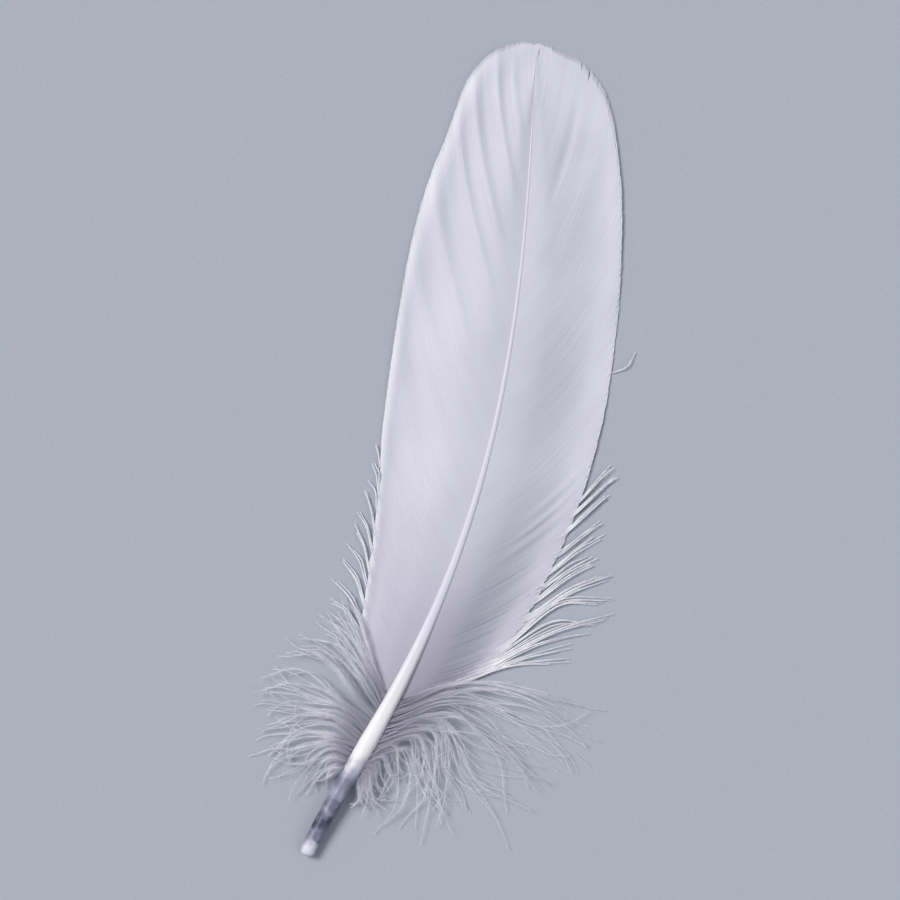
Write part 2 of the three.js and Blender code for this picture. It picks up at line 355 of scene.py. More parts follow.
def shaft_width(y):
    quill = lerp(QUILL_END_WIDTH, SHAFT_WIDTH, smoothstep(y, 0, WIDEST_AT))
    left = np.clip((SHAFT_LENGTH - y) / (SHAFT_LENGTH - WIDEST_AT), 0, 1)
    slender = (SHAFT_WIDTH - SWELLING - SHAFT_TIP_WIDTH) * left**RACHIS_TAPER
    return np.where(y < WIDEST_AT, quill, SHAFT_TIP_WIDTH + slender + SWELLING * left**SWELLING_TAPER)


def shaft_foot(y):
    return ARCH * np.sin(np.pi * np.clip(y, 0, SHAFT_LENGTH) / SHAFT_LENGTH)


def shaft_frame(y):
    """The shaft's middle and the direction to its right, seen from above."""
    step = 0.5
    ahead = np.stack([shaft_x(y + step) - shaft_x(y - step), np.full_like(y, 2 * step)], axis=-1)
    ahead /= np.linalg.norm(ahead, axis=-1, keepdims=True)
    return np.stack([shaft_x(y), y], axis=-1), np.stack([ahead[..., 1], -ahead[..., 0]], axis=-1)


# ---- Lines ----


def through(points, shares):
    """Places at shares 0 to 1 of the centripetal Catmull-Rom curve through the points."""
    points = np.asarray(points, float)
    points = np.vstack([2 * points[0] - points[1], points, 2 * points[-1] - points[-2]])
    place = np.clip(shares, 0, 1) * (len(points) - 3)
    first = np.minimum(place.astype(int), len(points) - 4)
    part = (place - first)[:, None]
    a, b, c, d = (points[first + k] for k in range(4))
    ab, bc, cd = (np.sqrt(np.linalg.norm(q - p, axis=1, keepdims=True)) for p, q in ((a, b), (b, c), (c, d)))
    leave = ((b - a) / ab - (c - a) / (ab + bc) + (c - b) / bc) * bc
    arrive = ((c - b) / bc - (d - b) / (bc + cd) + (d - c) / cd) * bc
    square, cube = part**2, part**3
    return (
        (2 * cube - 3 * square + 1) * b + (cube - 2 * square + part) * leave
        + (3 * square - 2 * cube) * c + (cube - square) * arrive
    )


def barb_lines(side, roots, tips, shares):
    """Lines of barbs seen from above, (barbs, stations, 2), from the shaft's side to their tips."""
    at, right = shaft_frame(roots)
    inset = ROOT_INSET * lerp(1, THREAD_INSET, smoothstep(roots, *SLIMMING)) * shaft_width(roots) / 2
    start = at + right * (side * inset)[:, None]
    reach = tips - start
    bend = np.stack([reach[:, 1], -reach[:, 0]], axis=1) * side * BARB_CURVE
    bend *= (1 - smoothstep(roots, *STRAIGHTENING))[:, None]
    first, second = start + reach / 3 + bend, start + reach * 2 / 3 + bend
    t = shares[None, :, None]
    start, first, second, tips = (p[:, None, :] for p in (start, first, second, tips))
    return (1 - t) ** 3 * start + 3 * (1 - t) ** 2 * t * first + 3 * (1 - t) * t**2 * second + t**3 * tips


def turned_lines(flat, turn):
    """Lines seen from above whose steps turn left by (lines, stations) angles."""
    steps, turn = np.diff(flat, axis=1), turn[:, 1:]
    x = steps[..., 0] * np.cos(turn) - steps[..., 1] * np.sin(turn)
    y = steps[..., 0] * np.sin(turn) + steps[..., 1] * np.cos(turn)
    return np.concatenate([flat[:, :1], flat[:, :1] + np.cumsum(np.stack([x, y], axis=-1), axis=1)], axis=1)


def directions(lines):
    """Unit vectors along lines of (lines, stations, 2 or 3) points."""
    along = np.gradient(lines, axis=1)
    return along / np.maximum(np.linalg.norm(along, axis=-1, keepdims=True), 1e-9)


def to_the_right(along):
    """Level unit vectors across lines, to the right of the way they run."""
    across = np.stack([along[..., 1], -along[..., 0], np.zeros(along.shape[:-1])], axis=-1)
    return across / np.maximum(np.linalg.norm(across, axis=-1, keepdims=True), 1e-9)


# ---- Meshes: a shape is its points and a list of (corners of faces, their places in the UV square) ----


def tubes(rings):
    """Closed solids through (lines, stations, sides, 3) rings that turn left as seen from the start."""
    lines, stations, sides, _ = rings.shape
    numbers = (np.arange(lines), np.arange(stations - 1), np.arange(sides))
    line, station, side = np.meshgrid(*numbers, indexing="ij")

    def corner(step, turn):
        return (line * stations + station + step) * sides + (side + turn) % sides

    def place(step, turn):
        along = (station + step) / (stations - 1)
        return np.stack([along, (side + turn + line * sides) / (lines * sides)], axis=-1)

    steps = [(0, 0), (0, 1), (1, 1), (1, 0)]
    walls = np.stack([corner(*s) for s in steps], axis=-1).reshape(-1, 4)
    walls_uv = np.stack([place(*s) for s in steps], axis=-2).reshape(-1, 4, 2)
    first = (np.arange(lines) * stations * sides)[:, None]
    low = first + np.arange(sides)[::-1]
    high = first + (stations - 1) * sides + np.arange(sides)
    ends = np.concatenate([low, high])
    ends_uv = np.zeros((len(ends), sides, 2))
    ends_uv[len(low):, :, 0] = 1
    ends_uv[..., 1] = ((np.arange(len(ends)) % lines + 0.5) / lines)[:, None]
    return rings.reshape(-1, 3), [(walls, walls_uv), (ends, ends_uv)]


def ribbons(lines, half_width, ridge, keel, tilt=0.0):
    """Flat four-sided strands along (lines, stations, 3) points; tilt is how they rise to the right."""
    across = to_the_right(directions(lines)) * half_width[..., None]
    across[..., 2] += tilt * half_width
    top, bottom = (np.array([0, 0, 1.0]) * size[..., None] for size in (ridge, keel))
    return tubes(np.stack([lines - across, lines + top, lines + across, lines - bottom], axis=2))


def three_sided(lines, half_width):
    """Rings for tubes, three points each, around (lines, stations, 3) points."""
    along = directions(lines)
    across = to_the_right(along)
    up = np.cross(across, along)
    corners = [
        lines + (across * math.cos(a) + up * math.sin(a)) * half_width[..., None]
        for a in (math.pi * 7 / 6, math.pi / 2, -math.pi / 6)
    ]
    return np.stack(corners, axis=2)


def spikes(base, reach, width, columns):
    """Closed three-sided spikes from (count, 3) bases along (count, 3) vectors, in UV rows of columns."""
    along = reach / np.linalg.norm(reach, axis=1, keepdims=True)
    across = to_the_right(along)
    up = np.cross(across, along)
    turns = (math.pi / 2, -math.pi / 6, -math.pi * 5 / 6)
    ring = [base + (across * math.cos(a) + up * math.sin(a)) * width for a in turns]
    points = np.stack([*ring, base + reach], axis=1)
    count = len(base)
    faces = np.array([[0, 1, 3], [1, 2, 3], [2, 0, 3], [0, 2, 1]])
    corners = (np.arange(count)[:, None, None] * 4 + faces).reshape(-1, 3)
    cell = np.stack([np.arange(count) % columns, np.arange(count) // columns], axis=1)[:, None, None, :]
    slot = np.array([[[x, y], [x + 0.5, y], [x + 0.25, y + 0.5]] for x in (0, 0.5) for y in (0, 0.5)])
    uv = (cell + slot) / [columns, count // columns]
    return points.reshape(-1, 3), [(corners, uv.reshape(-1, 3, 2))]


def solid(name, shapes, node, material, smooth=False):
    """One mesh object of several shapes, each with its own band of the UV square."""
    corners, sides, places, start = [], [], [], 0
    for band, (points, parts) in enumerate(shapes):
        for faces, uv in parts:
            corners.append((faces + start).ravel())
            sides.append(np.full(len(faces), faces.shape[1]))
            places.append((uv * [1, 1 / len(shapes)] + [0, band / len(shapes)]).reshape(-1, 2))
        start += len(points)
    corners, sides = np.concatenate(corners), np.concatenate(sides)
    points = (np.concatenate([p for p, _ in shapes]) + ORIGIN) * MM
    mesh = bpy.data.meshes.new(name)
    mesh.vertices.add(len(points))
    mesh.vertices.foreach_set("co", points.ravel())
    mesh.loops.add(len(corners))
    mesh.loops.foreach_set("vertex_index", corners)
    mesh.polygons.add(len(sides))
    mesh.polygons.foreach_set("loop_start", np.concatenate([[0], np.cumsum(sides)[:-1]]))
    mesh.polygons.foreach_set("use_smooth", np.full(len(sides), smooth))
    mesh.uv_layers.new(name="OFBake").uv.foreach_set("vector", np.concatenate(places).ravel())
    mesh.materials.append(material)
    mesh.update(calc_edges=True)
    mesh.validate()
    piece = bpy.data.objects.new(name, mesh)
    bpy.context.scene.collection.objects.link(piece)
    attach(piece, "root")
    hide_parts(node)


# ---- Shaft ----


def quill():
    """The bare quill and the rachis: a rounded end, a tube, then a squarer section with a groove below."""
    end_y, end_scale = np.array(QUILL_END).T
    run = np.linspace(end_y[-1] + AFTER_END, SHAFT_LENGTH + THREAD_LENGTH, SHAFT_STATIONS)
    y = np.concatenate([end_y, run])
    scale = np.concatenate([end_scale, lerp(1, THREAD_WIDTH, smoothstep(run, *SLIMMING))])
    angle = np.pi - np.linspace(0, 2 * np.pi, SHAFT_SIDES, endpoint=False)
    power = 2 / lerp(2, RACHIS_SQUARENESS, smoothstep(y, *SQUARING)[:, None])
    across = np.sign(np.cos(angle)) * np.abs(np.cos(angle)) ** power
    up = np.sign(np.sin(angle)) * np.abs(np.sin(angle)) ** power
    groove = smoothstep(y, *GROOVE_START) * (1 - smoothstep(y, *GROOVE_END))
    pit = np.exp(-(((y - PIT_AT) / PIT_LENGTH) ** 2))
    hollow = GROOVE_DEPTH * groove[:, None] * np.exp(-((across / GROOVE_WIDTH) ** 2))
    hollow += PIT_DEPTH * pit[:, None] * np.exp(-((across / PIT_WIDTH) ** 2))
    up += np.where(up < 0, hollow, 0)
    uneven = 1 + UNEVENNESS * np.sin(1.9 * y + 1) + QUILL_UNEVENNESS * np.sin(4.3 * y) * (y < WIDEST_AT)
    half = (shaft_width(y) / 2 * scale * uneven)[:, None]
    at, right = shaft_frame(y)
    middle = shaft_foot(y) + shaft_width(y) * SHAFT_FLATNESS / 2
    middle += THREAD_LIFT * smoothstep(y, SHAFT_LENGTH - THREAD_LIFT_OVER, SHAFT_LENGTH)
    ring = np.empty((len(y), SHAFT_SIDES, 3))
    ring[..., :2] = at[:, None, :] + right[:, None, :] * (across * half)[..., None]
    ring[..., 2] = middle[:, None] + up * half * SHAFT_FLATNESS
    return [tubes(ring[None])]


# ---- Vanes ----


def barbs_of(rows, roots):
    """Where the barbs with these roots end."""
    rows = np.array([*rows, TIP_ROW], float)
    dense = through(rows, np.linspace(0, 1, 1500))
    return np.stack([np.interp(roots, dense[:, 0], dense[:, k]) for k in (1, 2)], axis=1)


def vane_height(roots, shares):
    """The vane comes down from the shaft to the table and lies on it towards the margin."""
    growth = lerp(*VANE_ROOT_HEIGHT, smoothstep(roots, *ROOTS_CLIMB))
    root_height = shaft_foot(roots) + growth * SHAFT_FLATNESS * shaft_width(roots)
    fall = np.where(shares < FLAT_FROM, (1 + np.cos(np.pi * shares / FLAT_FROM)) / 2, 0)
    lift = VANE_LIFT * (1 - LIFT_LOST_AT_TIP * smoothstep(roots, *LIFT_FADES))
    return root_height * fall + lift * smoothstep(shares, *VANE_LIFT_OVER)


def ripples(rows, roots, shares):
    height = np.zeros(np.broadcast_shapes(roots.shape, shares.shape))
    for root, half_width, rise, begin, end in rows:
        fade = smoothstep(shares, begin, begin + RIPPLE_RISE)
        fade = fade * (1 - smoothstep(shares, end - RIPPLE_FALL, end))
        height += rise * np.exp(-(((roots - root) / half_width) ** 2)) * fade
    return height


def vane_surface(side, rows, relief, frayed_to, seed):
    """A vane's barbs as lines seen from above, their heights, and how far each station has turned ahead.

    frayed_to is the stretch of roots over which the lowest margin gets tidy.
    """
    rng = np.random.default_rng(seed)
    roots = np.linspace(rows[0][0], LAST_ROOT, VANE_BARBS)
    stations = np.linspace(0, 1, BARB_STATIONS) ** STATION_POWER
    turn = np.clip((stations - MARGIN_FROM) / (1 - MARGIN_FROM), 0, 1)
    shares = np.where(turn > 0, MARGIN_FROM + (1 - MARGIN_FROM) * (2 * turn - turn**2), stations)
    tips = barbs_of(rows, roots)
    outward = tips - np.stack([shaft_x(roots), roots], axis=1)
    outward /= np.linalg.norm(outward, axis=1, keepdims=True)
    longer = rng.normal(0, LENGTH_SPREAD, VANE_BARBS) + LENGTH_WAVE * np.sin(roots * 0.21)
    grouped = np.convolve(rng.normal(0, 1, VANE_BARBS + GROUP - 1), np.ones(GROUP) / GROUP, "valid")
    longer += grouped * lerp(*GROUP_SPREAD, smoothstep(roots, *GROUPS_GROW))
    forward = np.gradient(tips, axis=0)
    forward /= np.linalg.norm(forward, axis=1, keepdims=True)
    frayed = 1 - smoothstep(roots, *frayed_to)
    longer += frayed * rng.triangular(*FRAYING, VANE_BARBS)
    sweep = MARGIN_SWEEP * (1 - smoothstep(roots, *SWEEP_FADES)) * (1 - SWEEP_LOST_TO_FRAYING * frayed)
    sweep *= rng.uniform(*SWEEP_RANGE, VANE_BARBS)
    flat = barb_lines(side, roots, tips + outward * longer[:, None], shares)
    flat += (forward * sweep[:, None])[:, None, :] * turn[None, :, None] ** 2

    t, root = shares[None, :], roots[:, None]
    below_tip = 1 - smoothstep(root, *TIP_SETTLES)
    height = vane_height(root, t) + ripples(relief, root, t)
    height += SWELL * np.sin(root * 0.19 + 2.2 * t + seed) * smoothstep(t, *SWELL_OVER) * below_tip
    upturn = UPTURN + UPTURN_WAVE * np.sin(root * 0.11 + seed * 1.7)
    upturn *= lerp(UPTURN_AT_BASE, 1, smoothstep(root, *UPTURN_GROWS))
    height += upturn * smoothstep(t, *UPTURN_OVER) * below_tip
    return flat, np.maximum(height, LOWEST_BARB), roots, shares, turn


def slope_across(flat, height):
    """How much a sheet of lines rises to the right of each line, over the distance."""
    along = directions(flat)
    across = to_the_right(along)[..., :2]
    step, rise = np.gradient(flat, axis=0), np.gradient(height, axis=0)
    ahead = np.gradient(height, axis=1) / np.linalg.norm(np.gradient(flat, axis=1), axis=-1)
    sideways, forwards = np.sum(step * across, axis=-1), np.sum(step * along, axis=-1)
    sideways = np.where(np.abs(sideways) < 0.02, np.inf, sideways)  # too close together to have a slope
    return np.clip((rise - ahead * forwards) / sideways, -STEEPEST, STEEPEST)


def vane(side, surface, splits, seed):
    """The barbs of a vane side by side as one closed sheet of strands."""
    flat, height, roots, shares, turn = surface
    t, root = shares[None, :], roots[:, None]
    across = to_the_right(directions(flat))[..., :2]
    gap = np.abs(np.sum((flat[1:] - flat[:-1]) * across[1:], axis=-1))
    gap = np.concatenate([gap[:1], (gap[1:] + gap[:-1]) / 2, gap[-1:]])
    least = lerp(*LEAST_HALF_WIDTH, smoothstep(root, *LEAST_WIDENS))
    half_width = np.clip(gap * BARB_OVERLAP, least, MOST_HALF_WIDTH)
    points_from = lerp(*POINTS_FROM, smoothstep(root, *SWEEP_FADES))
    half_width *= 1 - POINTING * smoothstep(t, points_from, 1.0)
    half_width *= lerp(1, smoothstep(t, *SLENDER_START), smoothstep(root, *SLENDER_STARTS))
    tilt = slope_across(flat, height) * lerp(1, TILT_AT_TIP, smoothstep(root, *TIP_SETTLES))

    for split_root, begin, width in splits:
        away = root - split_root
        push = np.sign(away + 1e-6) * side * -0.5 * width * np.exp(-np.abs(away) / SPLIT_REACH)
        push = push * smoothstep(t, begin, SPLIT_END)
        flat = flat + across * push[..., None]

    rng = np.random.default_rng(seed)
    height = height + MARGIN_TILT * turn[None, :] + rng.normal(0, BARB_STEP, (len(roots), 1))
    lines = np.concatenate([flat, height[..., None]], axis=-1)
    ridge = np.full_like(half_width, BARB_RIDGE) * np.clip(half_width / RIDGE_WIDTH, *RIDGE_LIMITS)
    return [ribbons(lines, half_width, ridge, ridge * BARB_KEEL / BARB_RIDGE, tilt)]


# ---- Fringes of barbules ----


def fringe(lines, rng, count, span, length, width, angle, rise):
    """Barbules that lean forward from both sides of every line, in turn."""
    number, stations, _ = lines.shape
    place = np.linspace(*span, count)[None, :] + rng.uniform(-0.5, 0.5, (number, count)) / count
    place = np.clip(place, 0, 0.999) * (stations - 1)
    low = place.astype(int)
    part = (place - low)[..., None]
    line = np.arange(number)[:, None]
    base = lines[line, low] * (1 - part) + lines[line, low + 1] * part
    along = directions(lines)[line, low]
    across = to_the_right(along)
    side = np.where((np.arange(count) % 2 == 0)[None, :], 1, -1) * np.ones((number, 1))
    share = place / (stations - 1)
    turn = lerp(*angle, share) * np.clip(rng.normal(1, ANGLE_SPREAD, (number, count)), *ANGLE_LIMITS)
    way = along * np.cos(turn)[..., None] + across * (np.sin(turn) * side)[..., None]
    way[..., 2] += rng.normal(0.0, rise, (number, count))
    grow_from, grow_to = BARBULES_GROW_OVER
    size = lerp(*length, share) * smoothstep(share, span[0] + grow_from, span[0] + grow_to)
    size *= rng.uniform(*LENGTH_RANGE, share.shape)
    reach = (way * size[..., None]).reshape(-1, 3)
    base = base.reshape(-1, 3)
    reach[:, 2] = np.maximum(reach[:, 2], LOWEST_BARBULE - base[:, 2])
    return spikes(base, reach, width, count)


# ---- Loose strands ----


def height_on(surface, places):
    """The height of a vane near (..., 2) places: a mean of its points close by."""
    flat, height = surface[0][:, BARB_STATIONS // 2:], surface[1][:, BARB_STATIONS // 2:]
    away = np.linalg.norm(places.reshape(-1, 1, 2) - flat.reshape(1, -1, 2), axis=2)
    weight = np.exp(-((away - away.min(axis=1, keepdims=True)) / SURFACE_BLUR))
    return ((weight * height.reshape(1, -1)).sum(axis=1) / weight.sum(axis=1)).reshape(places.shape[:-1])


def loose_barbs(strands, side, surface, seed):
    """Barbs that lie on the vane up to its margin, where they come away from it one by one."""
    rng = np.random.default_rng(seed)
    mirror = np.array([side, 1])
    shares = np.linspace(0, 1, LOOSE_STATIONS)
    outside = np.clip((shares - MARGIN_AT) / (1 - MARGIN_AT), 0, 1)
    lines = []
    for start, middle, tip, count in strands:
        start, middle, tip = (np.array(p) for p in (start, middle, tip))
        inward = (start - middle) / np.linalg.norm(middle - start) * HIDDEN_WAY
        for k in range(count):
            spread = (k - (count - 1) / 2) / count
            hidden = rng.uniform(*HIDDEN_LENGTH) if count > 1 else HIDDEN_LENGTH_ALONE
            begin = start + inward * hidden + spread * mirror * START_SPREAD
            pass_by = start + spread * mirror * MARGIN_SPREAD
            via = middle + spread * mirror * MIDDLE_SPREAD + rng.normal(0, MIDDLE_JITTER, 2)
            has_partner = k % 2 == 1 or k + 1 < count
            to_partner = (PAIRING if k % 2 == 0 else -PAIRING) / count if has_partner else 0
            end = tip + (spread + to_partner) * mirror * TIP_SPREAD + rng.normal(0, TIP_JITTER, 2)
            end = end + (end - via) * rng.uniform(*TIP_SHIFT)
            flat = through([begin, pass_by, via, end], shares)
            height = height_on(surface, flat) + lerp(SUNK, RAISED, smoothstep(shares, 0, MARGIN_AT))
            height = lerp(height, LOOSE_HEIGHT, smoothstep(outside, *LOOSE_DESCENT))
            height += LOOSE_ARCH * np.sin(np.pi * outside) ** 2 + rng.uniform(*LOOSE_TIP_RISE) * outside**2
            lines.append(np.concatenate([flat, height[:, None]], axis=1))
    lines = np.array(lines)
    tapered = 1 - LOOSE_TAPER * smoothstep(shares, *LOOSE_TAPERS_OVER)
    half_width = LOOSE_HALF_WIDTH * tapered * np.ones((len(lines), 1))
    half_width *= smoothstep(shares, *LOOSE_SLENDER_START)
    body = ribbons(lines, half_width, half_width * LOOSE_RIDGE, half_width * LOOSE_KEEL)
    return [body, fringe(lines, rng, LOOSE_BARBULES_EACH, **LOOSE_BARBULES)]


# ---- Down ----


def fibre_field(side, rows, samples=220, stations=64):
    """Lines of a fan of down, one after the other from its first row to its last."""
    table = [[root, *near, *far, *tip] for root, near, far, tip in rows]
    table = through(table, np.linspace(0, 1, samples))
    at, right = shaft_frame(table[:, 0])
    start = at + right * (side * DOWN_INSET * shaft_width(table[:, 0]) / 2)[:, None]
    shares = np.linspace(0, 1, stations)
    return np.array([through([s, row[1:3], row[3:5], row[5:7]], shares) for s, row in zip(start, table)])


def sampled(field, across, along):
    """Points of the fan at shares across it (lines, stations) and along its lines (lines, stations)."""
    samples, stations, _ = field.shape
    across, along = across * (samples - 1), along * (stations - 1)
    i, j = np.minimum(across.astype(int), samples - 2), np.minimum(along.astype(int), stations - 2)
    a, b = (across - i)[..., None], (along - j)[..., None]
    near = field[i, j] * (1 - a) + field[i + 1, j] * a
    far = field[i, j + 1] * (1 - a) + field[i + 1, j + 1] * a
    return near * (1 - b) + far * b


def clumped_fan(side, rows, barbs, clumps, crowding, rng):
    """Barbs of the down seen from above, drawn together in clumps: their lines, roots and clumps.

    Where crowding is over 1 the barbs stand closer together near the first row.
    """
    t = np.linspace(0, 1, DOWN_STATIONS)[None, :]
    own = np.sort(np.linspace(0, 1, barbs) ** crowding + rng.normal(0, BARB_JITTER / barbs, barbs))
    centres = np.linspace(0, 1, clumps) ** crowding + rng.normal(0, CLUMP_JITTER / clumps, clumps)
    clump = np.argmin(np.abs(own[:, None] - centres[None, :]), axis=1)
    drawn = (centres[clump] - own)[:, None] * rng.uniform(*CLUMP_PULL, (barbs, 1)) * smoothstep(t, *PULL_OVER)
    drawn *= 1 - PULL_LOST * smoothstep(t, *PULL_FADES)
    astray = rng.normal(0, ASTRAY, (barbs, 1)) * smoothstep(t, *ASTRAY_OVER)
    reach = rng.uniform(*CLUMP_REACH, clumps)[clump] * rng.triangular(*BARB_REACH, barbs)
    across, along = np.clip(own[:, None] + drawn + astray, 0, 1), t * np.minimum(reach, 1)[:, None]
    return sampled(fibre_field(side, rows), across, along), lerp(rows[0][0], rows[-1][0], own), clump


def waves(number, lines, t, rng):
    """Sines of t, one row for each line, with a random number of waves and a random start."""
    return np.sin(2 * np.pi * (rng.uniform(*number, (lines, 1)) * t + rng.uniform(0, 1, (lines, 1))))


def bends(root, clump, clumps, rng):
    """How far the barbs of the down turn left at each station: with their clump, one by one and in curls."""
    count, t = len(root), np.linspace(0, 1, DOWN_STATIONS)[None, :]
    slow = waves(SLOW_WAVES, clumps, t, rng) * rng.normal(0, SLOW_BEND, (clumps, 1))
    slow += rng.normal(0, LEAN, (clumps, 1)) * smoothstep(t, *LEAN_OVER)
    quick = waves(QUICK_WAVES, count, t, rng)
    quick *= rng.normal(0, QUICK_BEND, (count, 1)) * smoothstep(t, *QUICK_OVER)
    curl = rng.laplace(0, 1, (count, 1)) * lerp(*CURL, smoothstep(root, *CURL_FADES))[:, None]
    bending = lerp(*BENDING, smoothstep(root, *BENDING_FADES))[:, None]
    return bending * (slow[clump] + quick + curl * smoothstep(t, *CURL_OVER) ** CURL_POWER)


def down(side, rows, strays, barbs, clumps, crowding, barbules_each, seed):
    """Downy barbs in clumps that cross here and there, a few strays among them, and their barbules."""
    rng = np.random.default_rng(seed)
    flat, root, clump = clumped_fan(side, rows, barbs, clumps, crowding, rng)
    if strays:
        flat = np.concatenate([flat, fibre_field(side, strays, len(strays), DOWN_STATIONS)])
        root = np.concatenate([root, [row[0] for row in strays]])
        clump = np.concatenate([clump, clumps + np.arange(len(strays))])
    flat = turned_lines(flat, bends(root, clump, clumps + len(strays), rng))

    count, t = len(root), np.linspace(0, 1, DOWN_STATIONS)[None, :]
    begin = shaft_foot(root) + shaft_width(root) * SHAFT_FLATNESS * rng.uniform(*DOWN_ROOT_HEIGHT, count)
    end = rng.uniform(*DOWN_TIP_HEIGHT, count)
    bulge = rng.uniform(*DOWN_BULGE, count)[:, None] * np.sin(np.pi * t**DOWN_BULGE_POWER)
    height = lerp(begin[:, None], end[:, None], t**DOWN_DESCENT_POWER) + bulge
    lines = np.concatenate([flat, np.maximum(height, LOWEST_DOWN)[..., None]], axis=-1)
    at_root, lost = DOWN_TAPER
    half_width = DOWN_HALF_WIDTH * (at_root - lost * smoothstep(t, 0.0, 1.0)) * np.ones((count, 1))
    return [tubes(three_sided(lines, half_width)), fringe(lines, rng, barbules_each, **DOWN_BARBULES)]


# ---- Materials ----


def add(tree, kind, inputs=None, **settings):
    """A node whose inputs are values or other nodes' sockets."""
    node = tree.nodes.new(kind)
    for key, value in settings.items():
        setattr(node, key, value)
    for key, value in (inputs or {}).items():
        if isinstance(value, bpy.types.NodeSocket):
            tree.links.new(value, node.inputs[key])
        else:
            node.inputs[key].default_value = value
    return node


def srgb(red, green, blue):
    """A colour given in 0 to 255 as a screen shows it."""
    return (*[((c / 255 + 0.055) / 1.055) ** 2.4 if c > 10 else c / 3294.6 for c in (red, green, blue)], 1)


# Painted highlight along the margins of the vanes
MARGIN_HIGHLIGHT = srgb(236, 235, 241)
LOOSE_WHITE = srgb(252, 251, 254)
VANE_INNER = srgb(215, 213, 224)
VANE_OUTER = srgb(208, 206, 218)
VANE_DARK = srgb(194, 192, 206)
IVORY = (srgb(212, 210, 212), srgb(225, 223, 225))
SLENDER_IVORY = (srgb(190, 188, 199), srgb(200, 198, 208))
HORN = (srgb(104, 103, 126), srgb(150, 148, 169))
HORN_END = srgb(205, 203, 214)
# Painted shade on the sides and underside of the bare quill
HORN_EDGE_SHADE = srgb(80, 80, 106)
# Darker bands around the bare quill: distance from its end and half width (m), colour, depth
HORN_BANDS = [
    (0.0118, 0.0017, srgb(84, 84, 109), 0.7), (0.0074, 0.0026, srgb(44, 47, 68), 0.92),
    (0.0040, 0.0012, srgb(88, 88, 112), 0.7), (0.0165, 0.0012, srgb(106, 105, 129), 0.5),
]
# Stretches of the shaft in metres from the quill's end: whitish end, change from horn to ivory, slimmer part
WHITISH_END = (0.0006, 0.0046)
HORN_TURNS_IVORY = (0.0175, 0.0235)
SHINE_FADES = (0.0175, 0.0300)
SLENDER_FROM = (0.026, 0.062)
RAGGEDNESS = 0.0011  # how far the edges of all these wander
DOWN_SMOKY = srgb(206, 204, 217)
DOWN_WHITE = srgb(252, 251, 254)
FLOOR = (srgb(153, 158, 167), srgb(156, 161, 170))
BUMP_HEIGHT = 0.00005


def blend(tree, factor, first, second):
    mix = add(tree, "ShaderNodeMix", {0: factor, 6: first, 7: second}, data_type="RGBA")
    return mix.outputs[2]


def ranged(tree, value, low, high, to_low=0.0, to_high=1.0):
    keys = {"Value": value, "From Min": low, "From Max": high, "To Min": to_low, "To Max": to_high}
    return add(tree, "ShaderNodeMapRange", keys, interpolation_type="SMOOTHSTEP").outputs["Result"]


def maths(tree, operation, *values):
    return add(tree, "ShaderNodeMath", dict(enumerate(values)), operation=operation).outputs[0]


def noise(tree, vector, scale, detail=2.0, roughness=0.5):
    keys = {"Vector": vector, "Scale": scale, "Detail": detail, "Roughness": roughness}
    return add(tree, "ShaderNodeTexNoise", keys).outputs["Fac"]


def stretched(tree, vector, scale):
    return add(tree, "ShaderNodeVectorMath", {0: vector, 1: scale}, operation="MULTIPLY").outputs[0]


def uv_place(tree):
    """Along a strand or the shaft from 0 to 1, and from one strand to the next or around the shaft."""
    return add(tree, "ShaderNodeUVMap", uv_map="OFBake").outputs[0]


def solid_place(tree):
    return add(tree, "ShaderNodeTexCoord").outputs["Object"]


def split(tree, vector):
    return add(tree, "ShaderNodeSeparateXYZ", {0: vector}).outputs[:2]


def bump(tree, height, strength):
    keys = {"Height": height, "Distance": BUMP_HEIGHT, "Strength": strength}
    return add(tree, "ShaderNodeBump", keys).outputs["Normal"]


def new_material(name):
    material = bpy.data.materials.new(name)
    material.use_nodes = True
    material.node_tree.nodes.clear()
    return material, material.node_tree


def finish_material(tree, surface):
    add(tree, "ShaderNodeOutputMaterial", {"Surface": surface})


def thin_shader(tree, colour, roughness, normal, through_share, sheen):
    """Keratin so thin that a share of the light comes through from behind."""
    keys = {"Base Color": colour, "Roughness": roughness, "Normal": normal, "Sheen Weight": sheen,
            "Sheen Roughness": 0.5, "Specular IOR Level": 0.35}
    skin = add(tree, "ShaderNodeBsdfPrincipled", keys).outputs[0]
    behind = add(tree, "ShaderNodeBsdfTranslucent", {"Color": colour, "Normal": normal}).outputs[0]
    return add(tree, "ShaderNodeMixShader", {0: through_share, 1: skin, 2: behind}).outputs[0]


